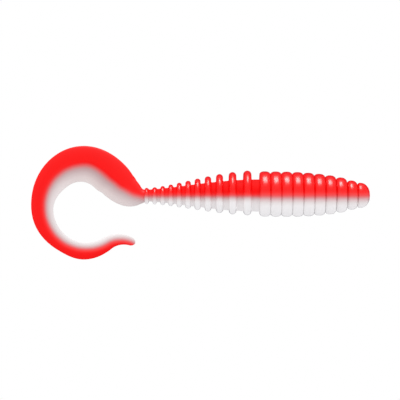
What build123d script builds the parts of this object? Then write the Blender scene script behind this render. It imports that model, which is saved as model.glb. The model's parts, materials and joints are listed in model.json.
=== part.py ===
from build123d import *

import os
from dataclasses import dataclass
from math import cos, exp, pi, radians, sin, tan

# A ringed soft-plastic worm with a curled tail, moulded from two pours: a red back over a white
# belly. The nose tip is the origin, +X points the way the worm swims and +Z is its back, so the
# body lies along -X and the tail's blade stands in the XZ plane. "back_by" is a distance behind
# the nose tip, and "run" is a distance along the tail's centre line from the neck.
#
# The real worm is one piece that bends wherever it is thin. Here both pours are parted by narrow
# notches at the thin places, and each notch is centred on the axis of one hinge.

# ---- Driving dimensions, in millimetres and degrees ------------------------------------------

BODY_RADIUS = 5.0  # the fat rings at the waist, and the first disc
BELLY_TOP = -0.8  # height of the line where the belly meets the back

# Front body: fat rings that touch, tapering to the nose.
RING_COUNT = 9
RING_PITCH = 2.41
RING_CORNER = 0.6
GROOVE_WIDTH = 0.12
GROOVE_DEPTH = 0.75
NOSE_RADIUS = 2.75  # the foremost ring is a dome
TAPER_LENGTH = 18.0
TAPER_POWER = 2.2

# Discs on a thinning core.
DISC_COUNT = 11
FIRST_GAP = 1.8  # from the last fat ring to the first disc
DISC_PITCH_FRONT = 3.27
DISC_PITCH_REAR = 1.775
DISC_PITCH_POWER = 2.6  # how soon the discs close up, from the front
DISC_WIDTH_FRONT = 1.80
DISC_WIDTH_REAR = 0.88
DISC_WIDTH_POWER = 1.5  # how soon the discs thin out, from the front
DISC_RADIUS_REAR = 1.78
CORE_RADIUS_FRONT = 3.55
CORE_RADIUS_REAR = 1.25
SWELL_POWER = 1.5  # how late the core and the discs start to swell, from the tail forwards
NECK_GAP = 0.9  # from the last disc to the tail's blade
# The discs stand further out of the core on the back than on the belly, most of all at the front.
CORE_HEIGHT = -0.2  # of the core's centre line, over the rings'
DISC_HEIGHT_FRONT = 0.38  # of the first disc's centre
DISC_HEIGHT_REAR = -0.3

# Tail: a flat sickle blade. Its centre line is a short straight and four tangent arcs.
TAIL_STRAIGHT = 1.4
TAIL_ARCS = (  # (radius, turn): a positive turn curls the tail, a negative one opens it
    (4.8, -60.0),
    (8.4, 68.0),
    (9.5, 204.0),
    (5.8, -62.0),
)
TAIL_LINKS = 10
TAIL_THICK = 2.6  # at the neck
TAIL_THIN = 1.1  # towards the tip
TAIL_THINNING_RUN = 7.0
EDGE_STEPS = 8  # spline spans along each edge of a link
# From the centre line to the outer edge, to the inner edge and to the belly's edge (+ outwards),
# each as (share of the tail's length, distance).
OUTER_WIDTHS = (
    (-0.02, 1.20),
    (0.03, 3.80),
    (0.09, 4.05),
    (0.17, 3.88),
    (0.27, 4.12),
    (0.49, 2.68),
    (0.70, 1.68),
    (0.79, 2.00),
    (0.90, 1.30),
    (1.00, 0.80),
)
INNER_WIDTHS = (
    (-0.02, 1.50),
    (0.06, 3.00),
    (0.17, 4.45),
    (0.32, 3.55),
    (0.41, 3.25),
    (0.52, 2.46),
    (0.62, 2.18),
    (0.78, 1.76),
    (0.88, 1.60),
    (1.00, 0.75),
)
BELLY_EDGES = (
    (0.00, BELLY_TOP),
    (0.07, 0.00),
    (0.16, -1.10),
    (0.27, -0.35),
    (0.55, -0.77),
    (0.83, -0.50),
    (1.00, -0.10),
)

# Hinges: what each one turns by, and the room that its notch leaves.
HINGE_GAP = 0.12  # between the two sides of a notch, at the hinge's axis
NOTCH_MARGIN = 1.0  # degrees of room on each side, past the hinge's limits
NOTCH_REACH = 2.0  # how far a notch is cut from its axis, as a multiple of the widest half-width there
SWAY = 8.0  # each way, at each body hinge that turns about Z
ARCH = 6.0  # each way, at each body hinge that turns about Y
SWING = 25.0  # each way, at the neck
WAVE = 12.0  # each way, at each tail hinge that bends the blade sideways
CURL_MORE = 4.0  # at the first uncurling hinge
UNCURL = 12.0  # at the first uncurling hinge
UNCURL_SHARES = (1.0, 1.25, 1.6, 2.0, 2.3)  # the blade opens more where it is narrower


# ---- The worm's shape as formulas ------------------------------------------------------------

FRONT_LENGTH = NOSE_RADIUS + RING_COUNT * RING_PITCH


def smooth_between(points, share):
    """The value at share of a curve that eases from each (share, value) point to the next."""
    for (low, low_value), (high, high_value) in zip(points, points[1:]):
        if share <= high:
            t = max(0.0, (share - low) / (high - low))
            return low_value + (high_value - low_value) * t * t * (3 - 2 * t)
    return points[-1][1]


def taper_radius(back_by):
    """Radius of the front body's envelope, an ellipse-like nose that runs out into a cylinder."""
    to_waist = max(0.0, 1 - back_by / TAPER_LENGTH)
    return BODY_RADIUS * (1 - to_waist**TAPER_POWER) ** (1 / TAPER_POWER)


@dataclass
class Disc:
    """One disc of the rear body, centred back_by behind the nose."""

    name: str
    back_by: float
    width: float
    radius: float
    height: float  # of its centre


def swell(back_by, neck_by):
    """0 at the neck and 1 at the front body, slow to start at the neck."""
    share = (neck_by - back_by) / (neck_by - FRONT_LENGTH)
    return sin(pi / 2 * min(1.0, max(0.0, share))) ** SWELL_POWER


def lay_out_discs():
    """The discs from front to rear, and the neck's distance behind the nose."""
    places = [FRONT_LENGTH + FIRST_GAP + DISC_WIDTH_FRONT / 2]
    last = DISC_COUNT - 2
    for step in range(last, -1, -1):
        more = (DISC_PITCH_FRONT - DISC_PITCH_REAR) * (step / last) ** DISC_PITCH_POWER
        places.append(places[-1] + DISC_PITCH_REAR + more)
    neck_by = places[-1] + DISC_WIDTH_REAR / 2 + NECK_GAP / 2
    discs = []
    for number, place in enumerate(places, start=1):
        share = (DISC_COUNT - number) / (DISC_COUNT - 1)
        width = DISC_WIDTH_REAR + (DISC_WIDTH_FRONT - DISC_WIDTH_REAR) * share**DISC_WIDTH_POWER
        grown = swell(place, places[-1])
        radius = DISC_RADIUS_REAR + (BODY_RADIUS - DISC_RADIUS_REAR) * grown
        height = DISC_HEIGHT_REAR + (DISC_HEIGHT_FRONT - DISC_HEIGHT_REAR) * grown
        discs.append(Disc(f"disc_{number:02d}", place, width, radius, height))
    return discs, neck_by


DISCS, NECK_BY = lay_out_discs()


def core_radius(back_by):
    """Radius of the core between the discs."""
    grown = (CORE_RADIUS_FRONT - CORE_RADIUS_REAR) * swell(back_by, NECK_BY)
    return CORE_RADIUS_REAR + grown


TAIL_LENGTH = TAIL_STRAIGHT + sum(radius * radians(abs(turn)) for radius, turn in TAIL_ARCS)
TAIL_START = Vector(-NECK_BY, 0, 0)


def tail_station(run):
    """The tail's centre point, its direction towards the tip and its outward side, at a run."""
    heading = pi
    point = TAIL_START
    pieces = [(TAIL_STRAIGHT, 0.0)]
    pieces += [(radius * radians(abs(turn)), radians(turn)) for radius, turn in TAIL_ARCS]
    for length, turn in pieces:
        done = min(run, length)
        turned = turn * done / length
        # A chord of an arc points along the arc's mean heading.
        chord = done if turn == 0 else 2 * length / abs(turn) * sin(abs(turned) / 2)
        middle = heading + turned / 2
        point += chord * Vector(cos(middle), 0, sin(middle))
        heading += turned
        run -= done
        if run <= 0:
            break
    along = Vector(cos(heading), 0, sin(heading))
    outwards = Vector(sin(heading), 0, -cos(heading))
    return point, along, outwards


def outer_width(run):
    """From the blade's centre line to its outer edge."""
    return smooth_between(OUTER_WIDTHS, run / TAIL_LENGTH)


def inner_width(run):
    """From the blade's centre line to its inner edge."""
    return smooth_between(INNER_WIDTHS, run / TAIL_LENGTH)


def belly_edge(run):
    """How far outside the centre line the belly's white meets the back's red."""
    return smooth_between(BELLY_EDGES, run / TAIL_LENGTH)


def blade_thickness(run):
    """The blade's thickness across Y."""
    return TAIL_THIN + (TAIL_THICK - TAIL_THIN) * exp(-run / TAIL_THINNING_RUN)


# ---- Hinges -----------------------------------------------------------------------------------


@dataclass
class Hinge:
    """A place where the worm bends. A positive turn closes the notch on its + side."""

    name: str
    at: Vector
    along: Vector  # the way the worm runs on, towards the tail
    axis: Vector
    low: float
    high: float
    leader: str = ""  # the hinge that this one follows, if any
    ratio: float = 1.0


def body_hinges():
    """Sway and arch hinges by turns, one in each gap between the discs."""
    rearwards = Vector(-1, 0, 0)
    hinges = []
    front_face = FRONT_LENGTH
    for number, disc in enumerate(DISCS):
        gap_middle = (front_face + disc.back_by - disc.width / 2) / 2
        front_face = disc.back_by + disc.width / 2
        at = Vector(-gap_middle, 0, CORE_HEIGHT)
        kind, axis, limit = (
            ("body_sway", Vector(0, 0, 1), SWAY),
            ("body_arch", Vector(0, 1, 0), ARCH),
        )[number % 2]
        count = number // 2 + 1
        leader = f"{kind}_1" if count > 1 else ""
        hinges.append(Hinge(f"{kind}_{count}", at, rearwards, axis, -limit, limit, leader))
    return hinges


def tail_hinges():
    """The neck's swing, then uncurling and waving hinges by turns along the blade."""
    neck = Hinge("tail_swing", TAIL_START, Vector(-1, 0, 0), Vector(0, 0, 1), -SWING, SWING)
    hinges = [neck]
    for number in range(1, TAIL_LINKS):
        at, along, outwards = tail_station(number * TAIL_LENGTH / TAIL_LINKS)
        count = (number + 1) // 2
        if number % 2:
            kind, axis, share = "tail_uncurl", Vector(0, 1, 0), UNCURL_SHARES[count - 1]
            low, high = -CURL_MORE * share, UNCURL * share
        else:
            kind, axis, share = "tail_wave", outwards, 1.0
            low, high = -WAVE, WAVE
        leader = f"{kind}_1" if count > 1 else ""
        hinge = Hinge(f"{kind}_{count}", at, along, axis, low, high, leader, share)
        hinges.append(hinge)
    return hinges


BODY_HINGES = body_hinges()
TAIL_HINGES = tail_hinges()


def cut_notch(hinge, reach):
    """Cuts a hinge's notch from the part being built: two wedges that meet at its axis."""
    plus = tan(radians(hinge.high / 2 + NOTCH_MARGIN)) * reach + HINGE_GAP / 2
    minus = tan(radians(-hinge.low / 2 + NOTCH_MARGIN)) * reach + HINGE_GAP / 2
    with BuildSketch(Plane(origin=hinge.at, x_dir=hinge.along, z_dir=hinge.axis)) as notch:
        with BuildLine():
            Polyline(
                (-HINGE_GAP / 2, 0),
                (-plus, reach),
                (plus, reach),
                (HINGE_GAP / 2, 0),
                (minus, -reach),
                (-minus, -reach),
                close=True,
            )
        make_face()
    extrude(notch.sketch, amount=reach, both=True, mode=Mode.SUBTRACT)


# ---- Building ---------------------------------------------------------------------------------


def save(shape, name):
    """Labels a finished piece and writes its STEP file."""
    shape.label = name
    export_step(shape, f"parts/{name}.step")


def save_pours(whole, name):
    """Parts a body link of both pours at the belly's top, and saves its back and its belly."""
    seam = Plane.XY.offset(BELLY_TOP)
    with BuildPart() as back:
        add(whole)
        split(bisect_by=seam, keep=Keep.TOP)
    save(back.part, f"{name}_back")
    with BuildPart() as belly:
        add(whole)
        split(bisect_by=seam, keep=Keep.BOTTOM)
    save(belly.part, f"{name}_belly")


def add_core(*places):
    """Adds a stretch of core to the part being built, through distances behind the nose."""
    radii = [(-back_by, core_radius(back_by)) for back_by in places]
    with BuildSketch(Plane.XY.offset(CORE_HEIGHT)) as core:
        with BuildLine():
            Polyline((-places[0], 0), *radii, (-places[-1], 0), close=True)
        make_face()
    revolve(core.sketch, axis=Axis((0, 0, CORE_HEIGHT), (1, 0, 0)))


def build_front_body(rear_hinge):
    """The nose and the fat rings, with a stub of core up to the first hinge."""
    radii = [NOSE_RADIUS]
    outline = [(-NOSE_RADIUS, NOSE_RADIUS)]
    for ring in range(RING_COUNT):
        # Each ring has its groove in front of it.
        groove_front = NOSE_RADIUS + ring * RING_PITCH
        groove_rear = groove_front + GROOVE_WIDTH
        radii.append(taper_radius(groove_front + RING_PITCH / 2))
        floor = min(radii[-2:]) - GROOVE_DEPTH
        outline += [(-groove_front, floor), (-groove_rear, floor)]
        outline += [(-groove_rear, radii[-1]), (-(groove_front + RING_PITCH), radii[-1])]
    with BuildPart() as front_body:
        with BuildSketch() as profile:
            with BuildLine():
                CenterArc((-NOSE_RADIUS, 0), NOSE_RADIUS, 0, arc_size=90)
                Polyline(*outline, (-FRONT_LENGTH, 0), (0, 0))
            make_face()
            ring_corners = [v for v in profile.vertices() if v.Y in radii[1:]]
            fillet(ring_corners, RING_CORNER)
        revolve(axis=Axis.X)
        add_core(FRONT_LENGTH - RING_CORNER, -rear_hinge.at.X)
        cut_notch(rear_hinge, NOTCH_REACH * BODY_RADIUS)
    save_pours(front_body.part, "front_body")


def build_disc_link(disc, front_hinge, rear_hinge):
    """One disc and the core to each side of it, up to the hinges."""
    rounding = disc.width / 2
    front_face, rear_face = -disc.back_by + rounding, -disc.back_by - rounding
    with BuildPart() as link:
        with BuildSketch(Plane.XY.offset(disc.height)):
            with BuildLine():
                rear_flank = Line((rear_face, 0), (rear_face, disc.radius - rounding))
                front_edge = (front_face, disc.radius - rounding)
                crest = ThreePointArc(rear_flank @ 1, (-disc.back_by, disc.radius), front_edge)
                Polyline(crest @ 1, (front_face, 0), rear_flank @ 0)
            make_face()
        revolve(axis=Axis((0, 0, disc.height), (1, 0, 0)))
        add_core(-front_hinge.at.X, disc.back_by, -rear_hinge.at.X)
        cut_notch(front_hinge, NOTCH_REACH * BODY_RADIUS)
        cut_notch(rear_hinge, NOTCH_REACH * BODY_RADIUS)
    save_pours(link.part, disc.name)


def blade_edge(start, end, offset):
    """Points along one edge of the blade, evenly from start to end."""
    points = []
    for step in range(EDGE_STEPS + 1):
        run = start + (end - start) * step / EDGE_STEPS
        point, _, outwards = tail_station(run)
        points.append(point + outwards * offset(run))
    return points


def build_tail_link(number, hinges):
    """One link of the blade, as a back and a belly that meet along the belly's edge."""
    length = TAIL_LENGTH / TAIL_LINKS
    start, end = (number - 1) * length, number * length
    back_side = blade_edge(start, end, outer_width)
    seam = blade_edge(start, end, belly_edge)
    belly_side = blade_edge(start, end, lambda run: -inner_width(run))
    name = f"tail_{number:02d}"
    for pour, outer, inner in (("back", back_side, seam), ("belly", seam, belly_side)):
        with BuildPart() as link:
            # Plane.XZ's normal is -Y, and its local x and y are the row's X and Z.
            with BuildSketch(Plane.XZ):
                with BuildLine():
                    outer_edge = Spline([(p.X, p.Z) for p in outer])
                    inner_edge = Spline([(p.X, p.Z) for p in inner])
                    Line(outer_edge @ 0, inner_edge @ 0)
                    Line(outer_edge @ 1, inner_edge @ 1)
                make_face()
            extrude(amount=blade_thickness((start + end) / 2) / 2, both=True)
            for hinge in hinges:
                widest = max(f(run) for f in (outer_width, inner_width) for run in (start, end))
                cut_notch(hinge, NOTCH_REACH * widest)
        save(link.part, f"{name}_{pour}")


def main():
    """Builds every link and writes its pours to parts/."""
    os.makedirs("parts", exist_ok=True)
    neck = TAIL_HINGES[0]
    build_front_body(BODY_HINGES[0])
    for disc, front, rear in zip(DISCS, BODY_HINGES, BODY_HINGES[1:] + [neck]):
        build_disc_link(disc, front, rear)
    for number in range(1, TAIL_LINKS + 1):
        build_tail_link(number, TAIL_HINGES[number - 1 : number + 1])


main()
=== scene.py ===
import json
import logging
import math
from dataclasses import dataclass
from enum import Enum

import bmesh
import bpy
import numpy as np
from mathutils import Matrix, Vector


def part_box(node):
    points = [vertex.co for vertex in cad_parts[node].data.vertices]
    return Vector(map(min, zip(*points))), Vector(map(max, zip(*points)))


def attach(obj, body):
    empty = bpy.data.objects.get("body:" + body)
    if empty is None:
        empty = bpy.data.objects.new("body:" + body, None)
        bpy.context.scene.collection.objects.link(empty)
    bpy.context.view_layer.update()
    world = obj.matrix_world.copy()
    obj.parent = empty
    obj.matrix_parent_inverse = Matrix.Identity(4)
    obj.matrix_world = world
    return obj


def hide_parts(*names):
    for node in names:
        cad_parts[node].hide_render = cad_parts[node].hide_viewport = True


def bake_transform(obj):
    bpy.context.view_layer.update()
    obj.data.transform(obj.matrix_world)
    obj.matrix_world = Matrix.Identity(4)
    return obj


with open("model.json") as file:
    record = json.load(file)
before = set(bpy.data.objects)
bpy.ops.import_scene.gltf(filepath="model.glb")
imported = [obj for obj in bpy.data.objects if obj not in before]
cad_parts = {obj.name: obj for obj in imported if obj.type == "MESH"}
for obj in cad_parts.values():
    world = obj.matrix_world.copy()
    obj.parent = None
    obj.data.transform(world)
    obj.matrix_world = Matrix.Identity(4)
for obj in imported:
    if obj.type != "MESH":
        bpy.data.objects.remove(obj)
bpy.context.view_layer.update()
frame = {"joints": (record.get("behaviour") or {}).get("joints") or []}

# A ringed soft-plastic worm with a curled tail: a red back poured over a white belly.
# The nose tip is the origin, +X points out of the nose, +Z is the back, and the tail's blade
# stands in the XZ plane. Sizes are in millimetres up to the moment a mesh is made.

MM = 0.001
DOUBLED = 1e-7  # metres: points closer than this are one point
SEAM = "seam"  # per point: millimetres from the meeting of the pours, + into the red
BLEED_AND_SHADE = "bleed_and_shade"  # per point: how far the colours turn to the second set, which carries painted shade, from 0 to 1
CAP = "cap"  # per face: a face inside the worm, where one piece meets the next

log = logging.getLogger("worm")


class Pour(Enum):
    """One of the two pours of plastisol that bond in the mould."""

    BACK = "back"
    BELLY = "belly"

    @property
    def slot(self) -> str:
        """The record's material slot for this pour."""
        return "red_plastisol" if self is Pour.BACK else "white_plastisol"


# ---- Small helpers ----------------------------------------------------------------------------


def linear(hex_colour: str) -> tuple[float, float, float, float]:
    """Turns an sRGB hex colour into linear light.

    Args:
        hex_colour: Six hex digits after a hash sign.

    Returns:
        Red, green, blue and an alpha of 1.
    """
    channels = [int(hex_colour[i : i + 2], 16) / 255 for i in (1, 3, 5)]
    low, high = [c / 12.92 for c in channels], [((c + 0.055) / 1.055) ** 2.4 for c in channels]
    return tuple(lo if c <= 0.04045 else hi for c, lo, hi in zip(channels, low, high)) + (1.0,)


def add_node(tree: bpy.types.NodeTree, kind: str, settings: dict, inputs: dict) -> bpy.types.Node:
    """Adds a node with its settings, values and links.

    Args:
        tree: The node tree to add it to.
        kind: The node's type, such as "ShaderNodeMath".
        settings: The node's own properties by name.
        inputs: Input sockets by name or number, each with a value or the socket to link from.

    Returns:
        The new node.
    """
    node = tree.nodes.new(kind)
    for name, value in settings.items():
        setattr(node, name, value)
    for key, value in inputs.items():
        if isinstance(value, bpy.types.NodeSocket):
            tree.links.new(value, node.inputs[key])
        else:
            node.inputs[key].default_value = value
    return node


def fill_ramp(ramp: bpy.types.ColorRamp, stops: tuple[tuple[float, str], ...], reach: float) -> None:
    """Gives a colour ramp its stops.

    Args:
        ramp: The ramp to fill.
        stops: (place, sRGB hex) pairs in order of place.
        reach: The ramp covers the places from minus this to plus this.
    """
    elements = ramp.elements
    while len(elements) > 1:
        elements.remove(elements[0])
    for number, (place, colour) in enumerate(stops):
        share = (place + reach) / (2 * reach)
        element = elements[0] if number == 0 else elements.new(share)
        element.position = share
        element.color = linear(colour)


def face_outwards(mesh: bpy.types.Mesh, merge: bool = False) -> None:
    """Turns a closed mesh's faces outwards, after merging doubled points if asked."""
    work = bmesh.new()
    work.from_mesh(mesh)
    if merge:
        bmesh.ops.remove_doubles(work, verts=work.verts, dist=DOUBLED)
        bmesh.ops.dissolve_degenerate(work, edges=work.edges, dist=DOUBLED)
    bmesh.ops.recalc_face_normals(work, faces=work.faces)
    work.to_mesh(mesh)
    work.free()
    mesh.update()


def ease(points: tuple[tuple[float, float], ...], at: float) -> float:
    """Reads a curve that eases from each point to the next.

    Args:
        points: (place, value) pairs in order of place.
        at: The place to read.

    Returns:
        The value there, held level past both ends.
    """
    if at <= points[0][0]:
        return points[0][1]
    for (low, low_value), (high, high_value) in zip(points, points[1:]):
        if at <= high:
            t = (at - low) / (high - low)
            return low_value + (high_value - low_value) * t * t * (3 - 2 * t)
    return points[-1][1]


def flow(points: tuple[tuple[float, float], ...], at: float) -> float:
    """Reads a smooth curve through points, which keeps its slope from one stretch to the next.

    Args:
        points: (place, value) pairs in order of place.
        at: The place to read.

    Returns:
        The value there, held level past both ends.
    """
    places, values = zip(*points)
    at = min(max(at, places[0]), places[-1])
    number = max(n for n, place in enumerate(places[:-1]) if place <= at)
    length = places[number + 1] - places[number]
    slopes = []
    for here in (number, number + 1):
        before, after = max(here - 1, 0), min(here + 1, len(places) - 1)
        slopes.append((values[after] - values[before]) / (places[after] - places[before]))
    t = (at - places[number]) / length
    return (
        values[number] * (1 + 2 * t) * (1 - t) ** 2
        + values[number + 1] * t * t * (3 - 2 * t)
        + length * t * (1 - t) * (slopes[0] * (1 - t) - slopes[1] * t)
    )


def joint_at(child: str) -> Vector:
    """The place of the joint that carries a body, in millimetres."""
    joint = next(j for j in frame["joints"] if j["child"] == child)
    return Vector(joint["pos_m"]) / MM


# ---- Finishes ---------------------------------------------------------------------------------


@dataclass(frozen=True)
class Plastisol:
    """Moulded soft PVC plastisol: a soft gel with a satin skin, opaque with pigment.

    The pours blend into each other near their meeting, so both finishes read the same colours by the
    distance from it. The second set of colours blends them wider and carries painted shade, greyer in
    the white and a deeper red near the meeting. Colours are (millimetres into the red, sRGB hex).
    """

    name: str
    thick_colours: tuple[tuple[float, str], ...]
    bled_and_shaded_colours: tuple[tuple[float, str], ...]
    roughness: float
    gloss: float  # the skin's specular level, of which 0.5 is a clean one
    reach: float = 5.0  # the colours cover this many millimetres to each side of the meeting
    ior: float = 1.54  # soft PVC
    drift_size: float = 3.0  # millimetres across a swirl of pigment
    drift: float = 0.12  # millimetres that a swirl shifts the meeting of the pours
    skin_grain: float = 0.35  # millimetres across a dimple, drawn coarse enough to show
    skin_depth: float = 0.004  # millimetres deep
    skin_variation: float = 0.04  # how far the roughness strays to each side
    depth_of_colour: tuple[float, float] = (0.96, 1.04)  # the least and the most

    def ramp(self, tree: bpy.types.NodeTree, colours: tuple[tuple[float, str], ...],
             place: bpy.types.NodeSocket) -> bpy.types.Node:
        """A colour ramp over the distance from the meeting of the pours.

        Args:
            tree: The material's node tree.
            colours: The colours by distance, from the white side to the red side.
            place: The distance, as a share of the whole reach.

        Returns:
            The ramp's node.
        """
        node = add_node(tree, "ShaderNodeValToRGB", {}, {"Fac": place})
        node.color_ramp.interpolation = "CARDINAL"
        fill_ramp(node.color_ramp, colours, self.reach)
        return node

    def material(self) -> bpy.types.Material:
        """Builds the material.

        Returns:
            The finished material, named for what it is.
        """
        material = bpy.data.materials.new(self.name)
        material.use_nodes = True
        tree = material.node_tree
        tree.nodes.clear()
        place = add_node(tree, "ShaderNodeTexCoord", {}, {}).outputs["Object"]
        seam = add_node(tree, "ShaderNodeAttribute", {"attribute_name": SEAM}, {}).outputs["Fac"]
        bleed_and_shade = add_node(tree, "ShaderNodeAttribute", {"attribute_name": BLEED_AND_SHADE}, {}).outputs["Fac"]
        swirl = add_node(tree, "ShaderNodeTexNoise", {},
                         {"Vector": place, "Scale": 1 / (self.drift_size * MM), "Detail": 3.0})
        shift = add_node(tree, "ShaderNodeMapRange", {},
                         {"Value": swirl.outputs["Fac"], "To Min": -self.drift, "To Max": self.drift})
        moved = add_node(tree, "ShaderNodeMath", {"operation": "ADD"}, {0: seam, 1: shift.outputs[0]})
        share = add_node(tree, "ShaderNodeMapRange", {},
                         {"Value": moved.outputs[0], "From Min": -self.reach, "From Max": self.reach})
        thick = self.ramp(tree, self.thick_colours, share.outputs[0])
        # The second ramp carries painted shade, greyer whites and a deeper red near the meeting, and the
        # per-point mark mixes it in.
        thin = self.ramp(tree, self.bled_and_shaded_colours, share.outputs[0])
        colour = add_node(tree, "ShaderNodeMix", {"data_type": "RGBA"},
                          {"Factor": bleed_and_shade, 6: thick.outputs[0], 7: thin.outputs[0]})
        # Pigment never mixes quite evenly into the gel: a slight drift in depth of colour.
        depth = add_node(tree, "ShaderNodeMapRange", {},
                         {"Value": swirl.outputs["Fac"], "To Min": self.depth_of_colour[0],
                          "To Max": self.depth_of_colour[1]})
        tinted = add_node(tree, "ShaderNodeHueSaturation", {},
                          {"Value": depth.outputs[0], "Color": colour.outputs[2]})
        grain = add_node(tree, "ShaderNodeTexNoise", {},
                         {"Vector": place, "Scale": 1 / (self.skin_grain * MM), "Detail": 2.0})
        bump = add_node(tree, "ShaderNodeBump", {},
                        {"Height": grain.outputs["Fac"], "Distance": self.skin_depth * MM})
        sheen = add_node(tree, "ShaderNodeMapRange", {},
                         {"Value": grain.outputs["Fac"], "To Min": self.roughness - self.skin_variation,
                          "To Max": self.roughness + self.skin_variation})
        shader = add_node(tree, "ShaderNodeBsdfPrincipled", {},
                          {"Base Color": tinted.outputs[0], "Roughness": sheen.outputs[0],
                           "IOR": self.ior, "Specular IOR Level": self.gloss,
                           "Normal": bump.outputs[0]})
        add_node(tree, "ShaderNodeOutputMaterial", {}, {"Surface": shader.outputs[0]})
        return material


# The pours' colours where the worm is thick, and a second set that blends them wider and carries
# painted shade: greyer in the white and a deeper red near their meeting, for the shade in the
# valley where the tail's thin web meets its rim and in the core between the discs.
THICK_COLOURS = (
    (-4.4, "#F9F8F8"),
    (-1.7, "#F7F4F4"),
    (-0.9, "#EADEDD"),
    (-0.4, "#E2BEBF"),
    (0.05, "#E09294"),
    (0.5, "#EF5C5E"),
    (1.0, "#FA3636"),
    (1.6, "#FA0E0E"),
    (4.4, "#FA0C0C"),
)
BLED_AND_SHADED_COLOURS = (
    (-4.4, "#F0EAE9"),
    (-3.2, "#E3D8D6"),
    (-2.0, "#D6C5C4"),
    (-1.2, "#C9B2B2"),
    (-0.5, "#C59A9B"),
    (0.0, "#DC7878"),
    (0.45, "#EC4C4D"),
    (0.8, "#F82021"),
    (1.1, "#FC0606"),
    (4.4, "#FB1212"),
)
RING_FINISHES = {
    Pour.BACK: Plastisol("red_soft_pvc_plastisol_moulded", THICK_COLOURS, BLED_AND_SHADED_COLOURS, 0.30, 0.25),
    Pour.BELLY: Plastisol("white_soft_pvc_plastisol_moulded", THICK_COLOURS, BLED_AND_SHADED_COLOURS, 0.15, 0.6),
}
# The blade's skin is satin, with broad faint highlights.
BLADE_FINISHES = {
    Pour.BACK: Plastisol("red_soft_pvc_plastisol_satin", THICK_COLOURS, BLED_AND_SHADED_COLOURS, 0.55, 0.14),
    Pour.BELLY: Plastisol("white_soft_pvc_plastisol_satin", THICK_COLOURS, BLED_AND_SHADED_COLOURS, 0.45, 0.2),
}
# Between the discs the skin is matt, and shows hardly any highlight.
CORE_FINISHES = {
    Pour.BACK: Plastisol("red_soft_pvc_plastisol_matt", THICK_COLOURS, BLED_AND_SHADED_COLOURS, 0.75, 0.06),
    Pour.BELLY: Plastisol("white_soft_pvc_plastisol_matt", THICK_COLOURS, BLED_AND_SHADED_COLOURS, 0.75, 0.06),
}


# ---- Closed skins -----------------------------------------------------------------------------


def set_normals(mesh: bpy.types.Mesh, skin: np.ndarray) -> None:
    """Gives the outer skin smooth normals that run on into the next piece, and keeps caps flat.

    Args:
        mesh: A mesh with the CAP attribute on its faces.
        skin: One unit normal for each point, for its skin faces.
    """
    mesh.polygons.foreach_set("use_smooth", [True] * len(mesh.polygons))
    caps = np.zeros(len(mesh.polygons), bool)
    mesh.attributes[CAP].data.foreach_get("value", caps)
    normals = np.zeros((len(mesh.loops), 3))
    for face in mesh.polygons:
        for corner in face.loop_indices:
            point = mesh.loops[corner].vertex_index
            normals[corner] = face.normal if caps[face.index] else skin[point]
    mesh.normals_split_custom_set(normals.tolist())
    mesh.update()


def set_round_normals(mesh: bpy.types.Mesh, height: float, lean: float = 0.0) -> None:
    """Sets exact normals on a skin that was turned about a line along X.

    Args:
        mesh: The turned mesh, with the CAP attribute on its faces.
        height: The line's height at the nose, in millimetres.
        lean: How far it climbs for each millimetre towards the tail.
    """
    caps = np.zeros(len(mesh.polygons), bool)
    mesh.attributes[CAP].data.foreach_get("value", caps)
    places = np.array([v.co for v in mesh.vertices])
    summed = np.zeros((len(places), 3))
    for face in mesh.polygons:
        if not caps[face.index]:
            for point in face.vertices:
                summed[point] += np.array(face.normal) * face.area
    lengthways = summed[:, 0] / np.maximum(np.linalg.norm(summed, axis=1), 1e-12)
    round_about = places * (0, 1, 1)
    round_about[:, 2] -= height * MM - lean * places[:, 0]
    reach = np.linalg.norm(round_about, axis=1)
    on_axis = reach < 1e-9
    lengthways[on_axis] = np.sign(lengthways[on_axis])
    round_about /= np.maximum(reach, 1e-9)[:, None]
    skin = round_about * np.sqrt(np.maximum(0, 1 - lengthways**2))[:, None]
    skin[:, 0] = lengthways
    set_normals(mesh, skin)


def new_mesh(name: str, points: list, faces: list[list[int]], caps: list[bool],
             marks: dict[str, list[float]]) -> bpy.types.Mesh:
    """Makes a mesh in metres from points in millimetres.

    Args:
        name: The mesh's name.
        points: The points, in millimetres.
        faces: The faces, as point numbers.
        caps: For each face, whether it is inside the worm.
        marks: One value for each point, for each attribute by name.

    Returns:
        The new mesh.
    """
    mesh = bpy.data.meshes.new(name)
    mesh.from_pydata([tuple(np.array(p) * MM) for p in points], [], faces)
    mesh.attributes.new(CAP, "BOOLEAN", "FACE").data.foreach_set("value", caps)
    for mark, values in marks.items():
        mesh.attributes.new(mark, "FLOAT", "POINT").data.foreach_set("value", values)
    return mesh


def closed_faces(rows: int, columns: int, start_pole: bool, end_pole: bool) -> tuple[list, list[bool]]:
    """Faces of a skin that is a grid of rows, closed along its open side and at both ends.

    The points are the grid's, row by row, then the start's centre and the end's centre.

    Args:
        rows: How many rows of points.
        columns: How many points in a row.
        start_pole: Whether the start comes to a point of the skin, not to a cap.
        end_pole: The same for the end.

    Returns:
        The faces, and for each whether it is a cap.
    """
    faces, caps = [], []
    for row in range(rows - 1):
        for column in range(columns):
            beside = (column + 1) % columns
            here, there = row * columns, (row + 1) * columns
            faces.append([here + column, here + beside, there + beside, there + column])
            caps.append(beside == 0)
    for ring, centre, pole in ((0, rows * columns, start_pole), (rows - 1, rows * columns + 1, end_pole)):
        for column in range(columns):
            here = ring * columns + column
            beside = ring * columns + (column + 1) % columns
            faces.append([beside, here, centre] if ring == 0 else [here, beside, centre])
            caps.append(beside == ring * columns or not pole)
    return faces, caps


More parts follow.
